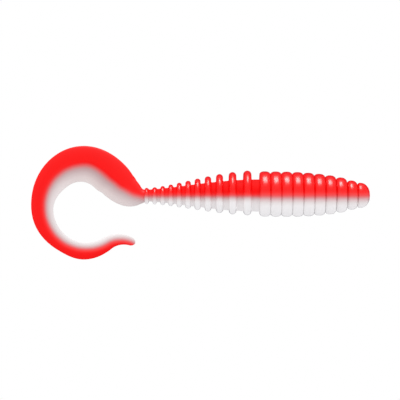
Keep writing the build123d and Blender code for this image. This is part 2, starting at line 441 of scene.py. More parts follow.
def turned_skin(name: str, outline: list[tuple[float, float]], pour: Pour, seam_height: float,
                bleed_and_shade: float, height: float = 0.0, around: int = 72) -> bpy.types.Mesh:
    """Turns an outline about a line along X and keeps the part that is one pour.

    Args:
        name: The mesh's name.
        outline: (distance behind the nose, radius) points from front to rear. A first radius of 0
            makes a pole.
        pour: Which pour to keep.
        seam_height: The height at which the pours meet.
        bleed_and_shade: How far the colours turn to the second set here, which carries painted shade.
        height: The line's height.
        around: How many points go round one pour.

    Returns:
        A closed mesh.
    """
    seam_height -= height
    if pour is Pour.BELLY:
        outline = [(x, r) for x, r in outline if r > -seam_height]
    pole = pour is Pour.BACK and outline[0][1] == 0
    stations = outline[1:] if pole else outline
    points = []
    for back_by, radius in stations:
        dip = math.asin(max(-1.0, seam_height / radius))
        start, sweep = (dip, math.pi - 2 * dip) if pour is Pour.BACK else (math.pi - dip, math.pi + 2 * dip)
        for step in range(around + 1):
            angle = start + sweep * step / around
            points.append((-back_by, radius * math.cos(angle), radius * math.sin(angle) + height))
    middle = (1 if pour is Pour.BACK else -1, seam_height)
    for back_by, radius in (outline[0], outline[-1]):
        points.append((-back_by, 0.0, (middle[0] * radius + middle[1]) / 2 + height if radius else height))
    faces, caps = closed_faces(len(stations), around + 1, pole, False)
    marks = {SEAM: [p[2] - height - seam_height for p in points], BLEED_AND_SHADE: [bleed_and_shade] * len(points)}
    mesh = new_mesh(name, points, faces, caps, marks)
    face_outwards(mesh, merge=True)
    set_round_normals(mesh, height)
    return mesh


def make_piece(mesh: bpy.types.Mesh, pour: Pour, materials: dict[Pour, bpy.types.Material],
               stands_for: list[str]) -> bpy.types.Object:
    """Makes an object of a finished mesh and dresses it.

    Args:
        mesh: The mesh, in place, in metres.
        pour: The pour that it is made of.
        materials: The material of each pour.
        stands_for: The bodies whose CAD solid of this pour it replaces.

    Returns:
        The new object, not yet riding on anything.
    """
    piece = bpy.data.objects.new(mesh.name, mesh)
    bpy.context.scene.collection.objects.link(piece)
    mesh.materials.clear()
    mesh.materials.append(materials[pour])
    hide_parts(*[f"{body}_{pour.value}" for body in stands_for])
    log.info("%s: %d faces", piece.name, len(mesh.polygons))
    return piece


# ---- Moulded rings, as Geometry Nodes ---------------------------------------------------------


@dataclass(frozen=True)
class RingSizes:
    """Sizes of a row of moulded rings that touch, or of one disc, in millimetres."""

    front: float  # how far behind the nose the first ring starts
    width: float  # of one ring
    count: int
    radius: float
    corner: float  # width of the ring's rounded corners
    drop: float  # their depth, as a share of their width
    crown: float  # how much the ring's face falls away towards its corners
    flank: float  # how far its sides run straight down, inside the worm or to a groove
    taper_length: float
    taper_power: float
    tilt: float  # how far each ring's face follows the taper, from 0 to 1
    height: float = 0.0  # of the centre line at the nose
    lean: float = 0.0  # how far it climbs for each millimetre towards the tail


class RingTree:
    """A Geometry Nodes tree that turns rings of one pour out of a grid."""

    ARC_SHARE = 0.9  # of the grid's width goes round the skin, and the rest back across the cap
    AROUND = 100
    ACROSS = 28  # points across one ring

    def __init__(self) -> None:
        """Builds the tree with its named inputs."""
        self.tree = bpy.data.node_groups.new("moulded_rings", "GeometryNodeTree")
        self.sockets: dict[str, str] = {}
        for name, kind in (
            ("Front", "Float"), ("Width", "Float"), ("Count", "Int"), ("Radius", "Float"),
            ("Corner", "Float"), ("Drop", "Float"), ("Crown", "Float"), ("Flank", "Float"),
            ("Taper Length", "Float"), ("Taper Power", "Float"), ("Tilt", "Float"),
            ("Height", "Float"), ("Lean", "Float"),
            ("Seam Height", "Float"), ("Bleed And Shade", "Float"), ("Belly", "Bool"), ("Material", "Material"),
        ):
            socket = self.tree.interface.new_socket(name=name, in_out="INPUT",
                                                    socket_type=f"NodeSocket{kind}")
            self.sockets[name] = socket.identifier
        self.tree.interface.new_socket(name="Mesh", in_out="OUTPUT", socket_type="NodeSocketGeometry")
        self.build()

    def maths(self, operation: str, *values: object) -> bpy.types.NodeSocket:
        """Adds one sum to the tree.

        Args:
            operation: The Math node's operation.
            values: Its inputs, each a number or a socket.

        Returns:
            The result's socket.
        """
        node = add_node(self.tree, "ShaderNodeMath", {"operation": operation}, dict(enumerate(values)))
        return node.outputs[0]

    def clamped(self, value: bpy.types.NodeSocket, low: object, high: object) -> bpy.types.NodeSocket:
        """Holds a value between two others."""
        return self.maths("MINIMUM", self.maths("MAXIMUM", value, low), high)

    def build(self) -> None:
        """Fills the tree: a grid, bent into rings, closed and marked."""
        tree, sums = self.tree, self.maths
        given = add_node(tree, "NodeGroupInput", {}, {}).outputs
        rows = sums("ADD", sums("MULTIPLY", given["Count"], float(self.ACROSS)), 1.0)
        grid = add_node(tree, "GeometryNodeMeshGrid", {},
                        {"Size X": 1.0, "Size Y": 1.0, "Vertices X": rows, "Vertices Y": self.AROUND + 1})
        uv = add_node(tree, "ShaderNodeSeparateXYZ", {}, {0: grid.outputs["UV Map"]})
        across, around = uv.outputs["X"], uv.outputs["Y"]

        # Across: down one flank, round a corner, along the face, round a corner, down the other.
        along = sums("MULTIPLY", across, given["Count"])
        ring = sums("MINIMUM", sums("FLOOR", along), sums("SUBTRACT", given["Count"], 1.0))
        bend = sums("MULTIPLY", given["Corner"], math.pi / 2)
        face = sums("SUBTRACT", given["Width"], sums("MULTIPLY", given["Corner"], 2.0))
        half = sums("ADD", given["Flank"], bend)
        whole = sums("ADD", sums("MULTIPLY", half, 2.0), face)
        run = sums("MULTIPLY", sums("SUBTRACT", along, ring), whole)
        first = self.clamped(sums("DIVIDE", sums("SUBTRACT", run, given["Flank"]), given["Corner"]),
                             0.0, math.pi / 2)
        past = sums("SUBTRACT", run, sums("ADD", half, face))
        second = self.clamped(sums("DIVIDE", past, given["Corner"]), 0.0, math.pi / 2)
        angle = sums("ADD", first, second)
        flat = self.clamped(sums("SUBTRACT", run, half), 0.0, face)
        turned = sums("MULTIPLY", sums("SUBTRACT", 1.0, sums("COSINE", angle)), given["Corner"])
        into = sums("ADD", turned, flat)
        front = sums("ADD", given["Front"], sums("MULTIPLY", ring, given["Width"]))
        back_by = sums("ADD", front, into)

        # The radius: the taper's, less the corners, the flanks and the crown.
        middle = sums("ADD", front, sums("MULTIPLY", given["Width"], 0.5))
        leant = sums("MULTIPLY", sums("SUBTRACT", back_by, middle), given["Tilt"])
        ahead = sums("SUBTRACT", 1.0, sums("DIVIDE", sums("ADD", middle, leant), given["Taper Length"]))
        lost = sums("POWER", sums("MAXIMUM", ahead, 0.0), given["Taper Power"])
        kept = sums("POWER", sums("SUBTRACT", 1.0, lost), sums("DIVIDE", 1.0, given["Taper Power"]))
        envelope = sums("MULTIPLY", given["Radius"], kept)
        deep = sums("MULTIPLY", given["Corner"], given["Drop"])
        corner = sums("MULTIPLY", sums("SUBTRACT", sums("SINE", angle), 1.0), deep)
        front_flank = sums("MAXIMUM", sums("SUBTRACT", given["Flank"], run), 0.0)
        rear_flank = sums("MAXIMUM", sums("SUBTRACT", run, sums("SUBTRACT", whole, given["Flank"])), 0.0)
        off_middle = sums("SUBTRACT", sums("DIVIDE", into, sums("MULTIPLY", given["Width"], 0.5)), 1.0)
        fall = sums("MULTIPLY", sums("DIVIDE", given["Crown"], sums("MULTIPLY", kept, kept)),
                    sums("MULTIPLY", off_middle, off_middle))
        cornered = sums("ADD", envelope, corner)
        flanked = sums("SUBTRACT", cornered, sums("ADD", front_flank, rear_flank))
        radius = sums("SUBTRACT", flanked, fall)

        # Around: from one meeting of the pours to the other, then straight back across the cap.
        axis_height = sums("ADD", given["Height"], sums("MULTIPLY", given["Lean"], back_by))
        seam = sums("SUBTRACT", given["Seam Height"], axis_height)
        dip = sums("ARCSINE", sums("MAXIMUM", sums("DIVIDE", seam, radius), -1.0))
        back_sweep = sums("SUBTRACT", math.pi, sums("MULTIPLY", dip, 2.0))
        belly_sweep = sums("SUBTRACT", 2 * math.pi, back_sweep)
        start = add_node(tree, "GeometryNodeSwitch", {"input_type": "FLOAT"},
                         {"Switch": given["Belly"], "False": dip, "True": sums("SUBTRACT", math.pi, dip)})
        sweep = add_node(tree, "GeometryNodeSwitch", {"input_type": "FLOAT"},
                         {"Switch": given["Belly"], "False": back_sweep, "True": belly_sweep})
        round_share = sums("MINIMUM", sums("DIVIDE", around, self.ARC_SHARE), 1.0)
        turn = sums("ADD", start.outputs[0], sums("MULTIPLY", round_share, sweep.outputs[0]))
        returned = sums("MAXIMUM", sums("SUBTRACT", around, self.ARC_SHARE), 0.0)
        home = sums("DIVIDE", returned, 1.0 - self.ARC_SHARE)
        out_y, home_y = sums("COSINE", turn), sums("COSINE", start.outputs[0])
        y = sums("ADD", out_y, sums("MULTIPLY", sums("SUBTRACT", home_y, out_y), home))
        side = sums("MULTIPLY", y, radius)
        height = sums("MULTIPLY", sums("SINE", turn), radius)

        # The first and the last row close to a point inside the worm.
        edge = sums("SUBTRACT", 0.5, sums("ABSOLUTE", sums("SUBTRACT", across, 0.5)))
        one_row = sums("DIVIDE", 1.0, sums("SUBTRACT", rows, 1.0))
        is_end = sums("LESS_THAN", edge, sums("MULTIPLY", one_row, 0.5))
        away = add_node(tree, "GeometryNodeSwitch", {"input_type": "FLOAT"},
                        {"Switch": given["Belly"], "False": radius, "True": sums("MULTIPLY", radius, -1.0)})
        inside = sums("MULTIPLY", sums("ADD", away.outputs[0], seam), 0.5)
        open_share = sums("SUBTRACT", 1.0, is_end)
        end_y = sums("MULTIPLY", side, open_share)
        end_z = sums("ADD", sums("MULTIPLY", height, open_share), sums("MULTIPLY", inside, is_end))
        risen = sums("ADD", end_z, axis_height)
        point = add_node(tree, "ShaderNodeCombineXYZ", {},
                         {"X": sums("MULTIPLY", back_by, -MM), "Y": sums("MULTIPLY", end_y, MM),
                          "Z": sums("MULTIPLY", risen, MM)})

        # The marks are stored before the points merge, while the grid's own places still hold.
        is_back = sums("GREATER_THAN", around, self.ARC_SHARE)
        in_end = sums("LESS_THAN", edge, one_row)
        cap = sums("MAXIMUM", is_back, in_end)
        depth = sums("SUBTRACT", end_z, seam)
        capped = add_node(tree, "GeometryNodeStoreNamedAttribute", {"data_type": "BOOLEAN", "domain": "FACE"},
                          {"Geometry": grid.outputs["Mesh"], "Name": CAP, "Value": cap})
        seamed = add_node(tree, "GeometryNodeStoreNamedAttribute", {"data_type": "FLOAT", "domain": "POINT"},
                          {"Geometry": capped.outputs[0], "Name": SEAM, "Value": depth})
        bled_and_shaded = add_node(tree, "GeometryNodeStoreNamedAttribute", {"data_type": "FLOAT", "domain": "POINT"},
                        {"Geometry": seamed.outputs[0], "Name": BLEED_AND_SHADE, "Value": given["Bleed And Shade"]})
        placed = add_node(tree, "GeometryNodeSetPosition", {},
                          {"Geometry": bled_and_shaded.outputs[0], "Position": point.outputs[0]})
        merged = add_node(tree, "GeometryNodeMergeByDistance", {},
                          {"Geometry": placed.outputs[0], "Distance": 1e-4 * MM})
        realized = add_node(tree, "GeometryNodeRealizeInstances", {}, {"Geometry": merged.outputs[0]})
        dressed = add_node(tree, "GeometryNodeSetMaterial", {},
                           {"Geometry": realized.outputs[0], "Material": given["Material"]})
        add_node(tree, "NodeGroupOutput", {}, {0: dressed.outputs[0]})

    def make(self, name: str, sizes: RingSizes, pour: Pour, seam_height: float, bleed_and_shade: float,
             material: bpy.types.Material) -> bpy.types.Mesh:
        """Runs the tree for one row of rings.

        Args:
            name: The mesh's name.
            sizes: The rings' sizes.
            pour: Which pour to make.
            seam_height: The height at which the pours meet.
            bleed_and_shade: How far the colours turn to the second set here, which carries painted shade.
            material: The pour's material.

        Returns:
            A plain closed mesh.
        """
        values = {
            "Front": sizes.front, "Width": sizes.width, "Count": sizes.count, "Radius": sizes.radius,
            "Corner": sizes.corner, "Drop": sizes.drop, "Crown": sizes.crown, "Flank": sizes.flank,
            "Taper Length": sizes.taper_length, "Taper Power": sizes.taper_power, "Tilt": sizes.tilt,
            "Height": sizes.height, "Lean": sizes.lean, "Seam Height": seam_height, "Bleed And Shade": bleed_and_shade,
            "Belly": pour is Pour.BELLY, "Material": material,
        }
        carrier = bpy.data.objects.new("ring_carrier", bpy.data.meshes.new("ring_carrier"))
        bpy.context.scene.collection.objects.link(carrier)
        modifier = carrier.modifiers.new("rings", "NODES")
        modifier.node_group = self.tree
        for key, value in values.items():
            modifier[self.sockets[key]] = value
        evaluated = carrier.evaluated_get(bpy.context.evaluated_depsgraph_get())
        mesh = bpy.data.meshes.new_from_object(evaluated)
        carrier.modifiers.remove(modifier)
        bpy.data.objects.remove(carrier)
        mesh.name = name
        face_outwards(mesh)
        set_round_normals(mesh, sizes.height, sizes.lean)
        return mesh


# ---- The worm's sub-assemblies ----------------------------------------------------------------


@dataclass
class Body:
    """The nose, the fat rings, the discs and the core that joins them."""

    rings: RingTree
    materials: dict[Pour, bpy.types.Material]
    core_materials: dict[Pour, bpy.types.Material]
    nose_length: float = 2.75
    nose_radius: float = 2.78
    nose_power: float = 2.15
    nose_corner: float = 0.5
    nose_height: float = -0.17  # the nose droops a little, and the rings climb from it
    front_lean: float = 0.0135  # how far they climb for each millimetre
    ring_count: int = 9
    ring_pitch: float = 2.41
    ring_corner: float = 0.85
    ring_corner_drop: float = 0.5
    ring_crown: float = 0.17
    groove_flank: float = 0.05
    taper_length: float = 20.0
    taper_power: float = 2.2
    tilt: float = 0.3
    disc_count: int = 11
    disc_width_front: float = 1.80
    disc_width_rear: float = 0.88
    disc_width_power: float = 1.5
    disc_crowding: float = 1.35  # how much closer the colours crowd about the meeting on the discs
    disc_rise: float = 0.3  # how far they shift towards the red
    core_radius_front: float = 3.55
    core_radius_rear: float = 1.25
    swell_power: float = 1.5
    fillet: float = 0.22  # where the core runs into a disc
    core_stub: float = 1.0  # how far the first core starts inside the last fat ring
    still_share: float = 0.1  # of each gap, at both its ends
    root_share: float = 0.8  # of the core's radius, where a disc's sides end inside it
    disc_edge: float = 0.01  # half the flat on a disc's rim
    nose_steps: int = 40
    corner_steps: int = 12
    core_steps: int = 32
    # Shares of the second, painted-shade colours: none on the rings, a fifth on the core that sits back
    # between the discs.
    ring_bleed_and_shade: float = 0.0
    core_bleed_and_shade: float = 0.2

    def __post_init__(self) -> None:
        """Takes the radius, the seam and the discs' places from the frame."""
        self.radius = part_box("front_body_back")[1].z / MM
        self.seam_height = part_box("front_body_belly")[1].z / MM
        self.waist = self.nose_length + self.ring_count * self.ring_pitch
        self.neck = -joint_at("tail_01").x
        self.core_height = joint_at("disc_01").z
        self.discs: list[tuple[str, float, float, float, float]] = []
        rear_face = self.waist
        for number in range(1, self.disc_count + 1):
            name = f"disc_{number:02d}"
            share = (self.disc_count - number) / (self.disc_count - 1)
            spread = self.disc_width_front - self.disc_width_rear
            width = self.disc_width_rear + spread * share**self.disc_width_power
            # The joint is in the middle of the gap in front of the disc.
            front_face = -2 * joint_at(name).x - rear_face
            rear_face = front_face + width
            top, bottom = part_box(f"{name}_back")[1].z / MM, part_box(f"{name}_belly")[0].z / MM
            self.discs.append((name, front_face, rear_face, (top - bottom) / 2, (top + bottom) / 2))

    def core_radius(self, back_by: float) -> float:
        """Radius of the core at a distance behind the nose."""
        share = (self.neck - back_by) / (self.neck - self.waist)
        swell = math.sin(math.pi / 2 * min(1.0, max(0.0, share))) ** self.swell_power
        return self.core_radius_rear + (self.core_radius_front - self.core_radius_rear) * swell

    def nose_outline(self) -> list[tuple[float, float]]:
        """The dome of the nose, its rear corner and a stub that runs into the first ring."""
        outline = [(0.0, 0.0)]
        end = self.nose_length - self.nose_corner
        for step in range(1, self.nose_steps + 1):
            share = 1 - (1 - step / self.nose_steps) ** 2  # closer together at the tip
            height = (1 - (1 - share) ** self.nose_power) ** (1 / self.nose_power)
            outline.append((end * share, self.nose_radius * height))
        for step in range(1, self.corner_steps + 1):
            angle = math.pi / 2 * step / self.corner_steps
            outline.append((end + self.nose_corner * math.sin(angle),
                            self.nose_radius - self.nose_corner * (1 - math.cos(angle))))
        foot = self.nose_radius - self.nose_corner - self.groove_flank
        return outline + [(self.nose_length, foot), (self.nose_length + self.groove_flank, foot)]

    def core_outline(self, front: float, front_face: float, rear_face: float,
                     rear: float) -> list[tuple[float, float]]:
        """The core from inside one ring or disc to inside the next, with a fillet at each face.

        Args:
            front: Where it starts, inside the ring in front.
            front_face: The rear face of that ring.
            rear_face: The front face of the next disc.
            rear: Where it ends, inside that disc.

        Returns:
            (distance behind the nose, radius) points.
        """
        outline = [(front, self.core_radius(front))]
        for step in range(self.core_steps + 1):
            back_by = front_face + (rear_face - front_face) * step / self.core_steps
            to_face = min(back_by - front_face, rear_face - back_by)
            short = max(0.0, 1 - to_face / self.fillet)
            rise = self.fillet * (1 - math.sqrt(1 - short**2))
            outline.append((back_by, self.core_radius(back_by) + rise))
        return outline + [(rear, self.core_radius(rear))]

    def crowd(self, mesh: bpy.types.Mesh) -> None:
        """Crowds the colours about the meeting of the pours, which is sharper where the worm thins."""
        marks = mesh.attributes[SEAM].data
        depths = np.zeros(len(marks), np.float32)
        marks.foreach_get("value", depths)
        marks.foreach_set("value", depths * self.disc_crowding - self.disc_rise)

    def build_front(self) -> None:
        """Makes the nose and the fat rings, which don't bend."""
        for pour in Pour:
            nose = turned_skin(f"nose_{pour.value}", self.nose_outline(), pour, self.seam_height,
                               self.ring_bleed_and_shade, self.nose_height)
            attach(make_piece(nose, pour, self.materials, ["front_body"]), "front_body")
            sizes = RingSizes(self.nose_length, self.ring_pitch, self.ring_count, self.radius,
                              self.ring_corner, self.ring_corner_drop, self.ring_crown, self.groove_flank,
                              self.taper_length, self.taper_power, self.tilt, self.nose_height,
                              self.front_lean)
            rings = self.rings.make(f"fat_rings_{pour.value}", sizes, pour, self.seam_height,
                                    self.ring_bleed_and_shade, self.materials[pour])
            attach(make_piece(rings, pour, self.materials, ["front_body"]), "front_body")

    def build_discs(self) -> None:
        """Makes the eleven discs, each on its own body."""
        for name, front_face, rear_face, radius, height in self.discs:
            width = rear_face - front_face
            root = self.root_share * self.core_radius((front_face + rear_face) / 2)
            sizes = RingSizes(front_face, width, 1, radius, width / 2 - self.disc_edge, 1.0, 0.0,
                              radius - width / 2 - root, self.taper_length, self.taper_power, 0.0, height)
            for pour in Pour:
                disc = self.rings.make(f"{name}_ring_{pour.value}", sizes, pour, self.seam_height,
                                       self.ring_bleed_and_shade, self.materials[pour])
                self.crowd(disc)
                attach(make_piece(disc, pour, self.materials, [name]), name)

    def build_core(self) -> None:
        """Makes the core in each gap. Its ends are in the discs."""
        body_in_front, front_face, front = "front_body", self.waist, self.waist - self.core_stub
        for name, face, rear_face, *_ in self.discs:
            rear = (face + rear_face) / 2
            outline = self.core_outline(front, front_face, face, rear)
            for pour in Pour:
                mesh = turned_skin(f"{name}_core_{pour.value}", outline, pour, self.seam_height,
                                   self.core_bleed_and_shade, self.core_height)
                self.crowd(mesh)
                piece = make_piece(mesh, pour, self.core_materials, [body_in_front, name])
                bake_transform(piece)
            body_in_front, front_face, front = name, rear_face, rear


@dataclass
class Blade:
    """The tail's flat sickle blade: a swept section that is thick and red outside, thin and white
    inside. Its centre line is a short straight and four tangent arcs."""

    materials: dict[Pour, bpy.types.Material]
    straight: float = 1.4
    arcs: tuple[tuple[float, float], ...] = ((4.8, -60.0), (8.4, 68.0), (9.5, 204.0), (5.8, -62.0))
    links: int = 10
    # (distance along the centre line, how far outside it the outer edge is)
    outer: tuple[tuple[float, float], ...] = (
        (-1.1, 1.05), (0.0, 1.25), (0.8, 2.4), (1.6, 3.3), (2.6, 3.65), (5.1, 3.88), (9.6, 3.82),
        (15.3, 4.18), (19.0, 4.0), (27.7, 2.68), (33.0, 2.3), (39.6, 1.68), (44.6, 2.0),
        (50.9, 1.25), (56.5, 0.8),
    )
    # (distance, how far inside the centre line the inner edge is)
    inner: tuple[tuple[float, float], ...] = (
        (-1.1, 1.45), (2.2, 2.75), (5.0, 3.4), (7.2, 4.2), (9.6, 4.45), (18.1, 3.55), (23.2, 3.28),
        (29.4, 2.5), (35.0, 2.25), (44.1, 1.8), (49.7, 1.75), (53.0, 1.4), (56.5, 0.75),
    )
    # (distance, where the pours meet, + outside the centre line)
    meeting: tuple[tuple[float, float], ...] = (
        (0.0, -0.8), (4.0, 0.0), (9.0, -1.1), (15.3, -0.35), (31.1, -0.77), (46.9, -0.5), (56.5, -0.1),
    )
    thick: float = 1.3  # half the thickness at the neck
    thin: float = 0.55  # half the thickness of the red rim towards the tip
    thinning_run: float = 7.0
    web: float = 0.55  # thickness of the white web, as a share of the rim's
    rim_rise: float = 1.5  # over this distance from the meeting, the web thickens into the rim
    rim_lead: float = 0.3  # how far inside the meeting that starts
    web_from: float = 2.5  # how far along the blade the web starts to thin
    web_by: float = 7.5
    round_power: float = 2.0  # the section is an ellipse at the neck
    blade_power: float = 2.9  # and a rounded slab along the blade
    tip_rounding: float = 1.0
    neck_bend: float = -0.4  # where along the centre line the neck's bend zone starts
    bend_spare: float = 0.25  # clear of a part's end sections
    bend_middle: tuple[float, float] = (0.45, 0.55)  # shares of a part's chord that the bend zone always takes in
    rows: int = 20
    around: int = 40
    # (distance, how much closer the colours crowd about the meeting there)
    crowding: tuple[tuple[float, float], ...] = ((18.0, 1.0), (34.0, 1.4))
    # (distance, how far the colours turn to the second set, which is painted shade of the valley where the
    # web meets the rim: most where the web is widest)
    bleeds_and_shade: tuple[tuple[float, float], ...] = ((0.0, 0.7), (8.0, 1.0), (13.0, 1.0), (30.0, 0.5), (47.0, 0.05))

    def __post_init__(self) -> None:
        """Works out the blade's length and each link's."""
        self.length = self.straight + sum(r * math.radians(abs(t)) for r, t in self.arcs)
        self.link = self.length / self.links
        self.start = joint_at("tail_01")

    def station(self, run: float) -> tuple[np.ndarray, np.ndarray, np.ndarray]:
        """The centre line at a distance along it.

        Args:
            run: The distance from the neck, in millimetres. Before the neck it is negative.

        Returns:
            The point, the direction towards the tip and the direction outwards.
        """
        heading = math.pi
        point = np.array(self.start) + (-min(run, 0.0), 0, 0)
        run = max(run, 0.0)
        parts = [(self.straight, 0.0)]
        parts += [(radius * math.radians(abs(turn)), math.radians(turn)) for radius, turn in self.arcs]
        for length, turn in parts:
            done = min(run, length)
            turned = turn * done / length
            # A chord of an arc points along the arc's mean heading.
            chord = done if turn == 0 else 2 * length / abs(turn) * math.sin(abs(turned) / 2)
            middle = heading + turned / 2
            point = point + chord * np.array((math.cos(middle), 0, math.sin(middle)))
            heading += turned
            run -= done
            if run <= 0:
                break
        along = np.array((math.cos(heading), 0, math.sin(heading)))
        return point, along, np.array((math.sin(heading), 0, -math.cos(heading)))

    def section(self, run: float) -> tuple[float, float, float, float, float, float]:
        """The section's sizes at a distance along the blade.

        Args:
            run: The distance from the neck, in millimetres.

        Returns:
            The outer and inner half-widths, the meeting of the pours, half the rim's thickness,
            the web's share of it, and the section's power.
        """
        into_tip = max(0.0, (run - (self.length - self.tip_rounding)) / self.tip_rounding)
        tip = math.sqrt(max(0.0, 1 - into_tip**2))
        grown = ease(((0.0, 0.0), (self.web_from, 0.0), (self.web_by, 1.0)), run)
        half = self.thin + (self.thick - self.thin) * math.exp(-max(run, 0.0) / self.thinning_run)
        web = 1 + (self.web - 1) * grown
        power = self.round_power + (self.blade_power - self.round_power) * grown
        return (flow(self.outer, run) * tip, flow(self.inner, run) * tip, flow(self.meeting, run) * tip,
                half * tip, web, power)

    def skin(self, run: float, angles: np.ndarray) -> tuple[np.ndarray, np.ndarray]:
        """The skin round one section. Angle 0 is the outer edge and pi is the inner edge.

        Args:
            run: The distance along the blade, in millimetres.
            angles: The angles round the section.

        Returns:
            The points, and their distances from the meeting of the pours.
        """
        point, _, outwards = self.station(run)
        outer, inner, meeting, half, web, power = self.section(run)
        cosine, sine = np.cos(angles), np.sin(angles)
        out = np.sign(cosine) * np.abs(cosine) ** (2 / power) * np.where(cosine > 0, outer, inner)
        from_meeting = out - meeting
        rise = np.clip((from_meeting + self.rim_lead) / self.rim_rise, 0, 1)
        share = web + (1 - web) * rise * rise * (3 - 2 * rise)
        side = np.sign(sine) * np.abs(sine) ** (2 / power) * half * share
        places = point + out[:, None] * outwards + side[:, None] * np.array((0, -1, 0))
        return places, from_meeting

    def meeting_angle(self, run: float) -> float:
        """The angle round the section at which the pours meet."""
        outer, inner, meeting, _, _, power = self.section(run)
        if outer <= 0:
            return math.pi / 2
        share = meeting / (outer if meeting > 0 else inner)
        return math.acos(math.copysign(abs(share) ** (power / 2), share))

    def normals(self, run: float, angles: np.ndarray) -> np.ndarray:
        """Unit normals of the skin round one section, by small differences."""
        step, turn = 0.02, 0.01
        ahead, behind = self.skin(min(run + step, self.length), angles)[0], self.skin(run - step, angles)[0]
        left, right = self.skin(run, angles + turn)[0], self.skin(run, angles - turn)[0]
        crossed = np.cross(ahead - behind, left - right)
        outwards = self.skin(run, angles)[0] - self.station(run)[0]
        crossed *= np.sign((crossed * outwards).sum(1))[:, None]
        return crossed / np.maximum(np.linalg.norm(crossed, axis=1), 1e-12)[:, None]

    def part(self, name: str, start: float, end: float, pour: Pour) -> bpy.types.Mesh:
        """One stretch of the blade, in one pour.

        Args:
            name: The mesh's name.
            start: Where it starts along the centre line.
            end: Where it ends.
            pour: The pour to make.

        Returns:
            A closed mesh.
        """
        to_tip = end >= self.length
        runs = [start + (end - start) * i / self.rows for i in range(self.rows + 1)]
        if to_tip:
            # Rows come closer together as the tip rounds off.
            runs = [start + (end - start) * math.sin(math.pi / 2 * i / self.rows) for i in range(self.rows)]
        points, skin, depths = [], [], []
        for run in runs:
            edge = self.meeting_angle(run)
            low, high = (-edge, edge) if pour is Pour.BACK else (edge, 2 * math.pi - edge)
            angles = np.linspace(low, high, self.around + 1)
            places, from_meeting = self.skin(run, angles)
            points += list(places)
            depths += list(from_meeting * ease(self.crowding, run))
            skin += list(self.normals(run, angles))
        for run, row in ((runs[0], 0), (end, len(runs) - 1)):
            ring = np.array(points[row * (self.around + 1) : (row + 1) * (self.around + 1)])
            at_tip = to_tip and row
            points.append(self.station(self.length)[0] if at_tip else ring.mean(0))
            skin.append(self.station(run)[1])
            depths.append(0.0 if at_tip else float(np.mean(depths[-len(ring):])))
        faces, caps = closed_faces(len(runs), self.around + 1, False, to_tip)
        # Each row's share of the second, painted-shade colours, by its place along the blade.
        bleeds_and_shade = [ease(self.bleeds_and_shade, run) for run in runs for _ in range(self.around + 1)]
        bleeds_and_shade += [ease(self.bleeds_and_shade, start), ease(self.bleeds_and_shade, end)]
        mesh = new_mesh(name, points, faces, caps, {SEAM: depths, BLEED_AND_SHADE: bleeds_and_shade})
        face_outwards(mesh)
        set_normals(mesh, np.array(skin))
        return mesh

    def build(self, disc: str, inside_disc: float) -> None:
        """Makes the blade in stretches from the middle of one link to the middle of the next.

        Args:
            disc: The last disc, which the first stretch starts in.
            inside_disc: How far in front of the neck that stretch starts.
        """
        bodies = [disc] + [f"tail_{number:02d}" for number in range(1, self.links + 1)]
        for number, body in enumerate(bodies):
            start = -inside_disc if number == 0 else (number - 0.5) * self.link
            end = min((number + 0.5) * self.link, self.length)
            for pour in Pour:
                name = f"neck_{pour.value}" if number == 0 else f"blade_{number:02d}_{pour.value}"
                mesh = self.part(name, start, end, pour)
                last = number == self.links
                ridden = [body] if last else [body, bodies[number + 1]]
                stands_for = [b for b in ridden if b != disc]
                piece = make_piece(mesh, pour, self.materials, stands_for)
                if last:
                    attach(piece, body)
                    continue
                low, high = self.bend_zone(max(start, 0.0) if number else self.neck_bend, end)
                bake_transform(piece)

    def bend_zone(self, start: float, end: float) -> tuple[np.ndarray, np.ndarray]:
        """The stretch of a part's chord between the places its two end sections reach to.

        Args:
            start: Where the part starts along the centre line.
            end: Where it ends.

        Returns:
            The two ends of the stretch.
        """
        first, first_along, _ = self.station(start)
        last, last_along, _ = self.station(end)
        chord = last - first
        length = np.linalg.norm(chord)
        chord = chord / length
        lean = [math.sqrt(max(0.0, 1 - float(along @ chord) ** 2)) for along in (first_along, last_along)]
        reach = [max(self.section(run)[:2]) * tilt for run, tilt in zip((start, end), lean)]
        low = min(reach[0] + self.bend_spare, self.bend_middle[0] * length)
        high = max(length - reach[1] - self.bend_spare, self.bend_middle[1] * length)
        return first + low * chord, first + high * chord


# ---- Studio -----------------------------------------------------------------------------------


